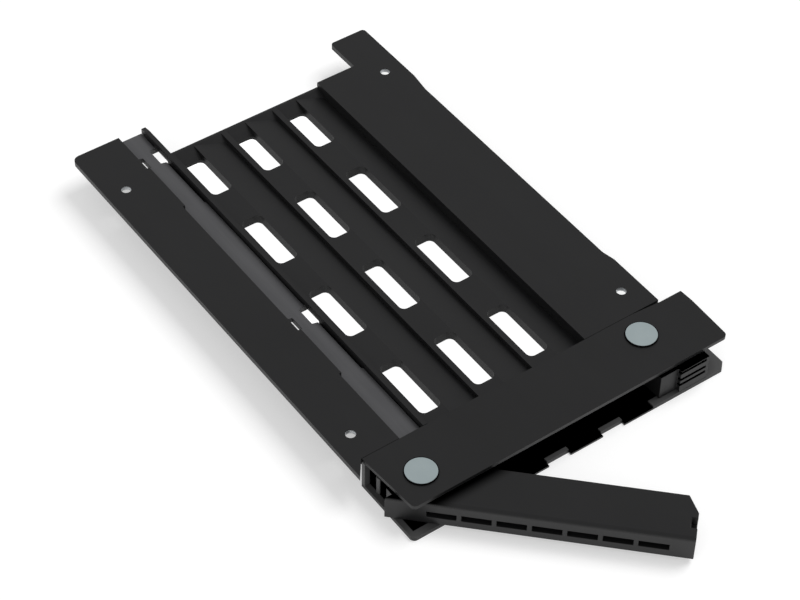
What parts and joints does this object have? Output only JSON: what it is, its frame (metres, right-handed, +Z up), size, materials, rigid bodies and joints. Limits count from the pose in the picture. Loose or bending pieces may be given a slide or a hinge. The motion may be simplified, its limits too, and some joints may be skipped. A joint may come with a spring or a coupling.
{
  "type": "hot swap drive caddy",
  "caption": "Slim plastic caddy for a 2.5-inch drive: slotted tray with a light pipe, and a bezel with a swing-out ejector lever and a sprung sliding latch.",
  "frame": {"origin": "centre of the four drive holes, on the tray's top face", "axes": "+X to the right seen from the bezel, +Y from the bezel to the rear, +Z up out of the tray's top face"},
  "size_m": [0.0752, 0.143, 0.0078],
  "materials": {
    "tray_plastic": "moulded, satin black",
    "bezel_plastic": "moulded, satin black",
    "lever_plastic": "moulded, satin black",
    "latch_plastic": "moulded, satin black",
    "light_pipe_plastic": "smoke grey, clear moulded",
    "bushing_steel": "turned",
    "cap_metal": "matt anodised grey",
    "blackened_steel": "black oxide",
    "spring_steel": "drawn wire",
    "bush_brass": "turned",
    "washer_plastic": "natural"
  },
  "bodies": {
    "carrier": {"tray": "tray_plastic", "drive_screw_bushings": "bushing_steel", "light_pipe": "light_pipe_plastic", "bezel_housing": "bezel_plastic", "bezel_base": "bezel_plastic", "spring_anchor": "bezel_plastic", "lever_spring": "spring_steel", "lever_pivot_pin": "blackened_steel", "lever_pivot_cap": "cap_metal", "lever_pivot_ring": "spring_steel", "latch_spring": "spring_steel", "latch_guide_pin": "blackened_steel", "latch_guide_cap": "cap_metal", "latch_guide_ring": "spring_steel", "bezel_screws": "blackened_steel"},
    "lever": {"lever": "lever_plastic", "lever_bush": "bush_brass", "lever_washer_top": "washer_plastic", "lever_washer_bottom": "washer_plastic"},
    "latch": {"latch_slider": "latch_plastic"}
  },
  "joints": [
    {"name": "lever_hinge", "type": "hinge", "parent": "carrier", "child": "lever", "pos_m": [-0.02573, -0.05249, 0], "axis": [0, 0, 1], "range_deg": [0, 45], "stiffness_Nm_per_rad": 0.02, "springref_deg": -20.05, "deforming": ["lever_spring"]},
    {"name": "latch_slide", "type": "slide", "parent": "carrier", "child": "latch", "axis": [1, 0, 0], "range_m": [0, 0.0016], "stiffness_N_per_m": 400, "springref_m": -0.002, "deforming": ["latch_spring"]}
  ]
}
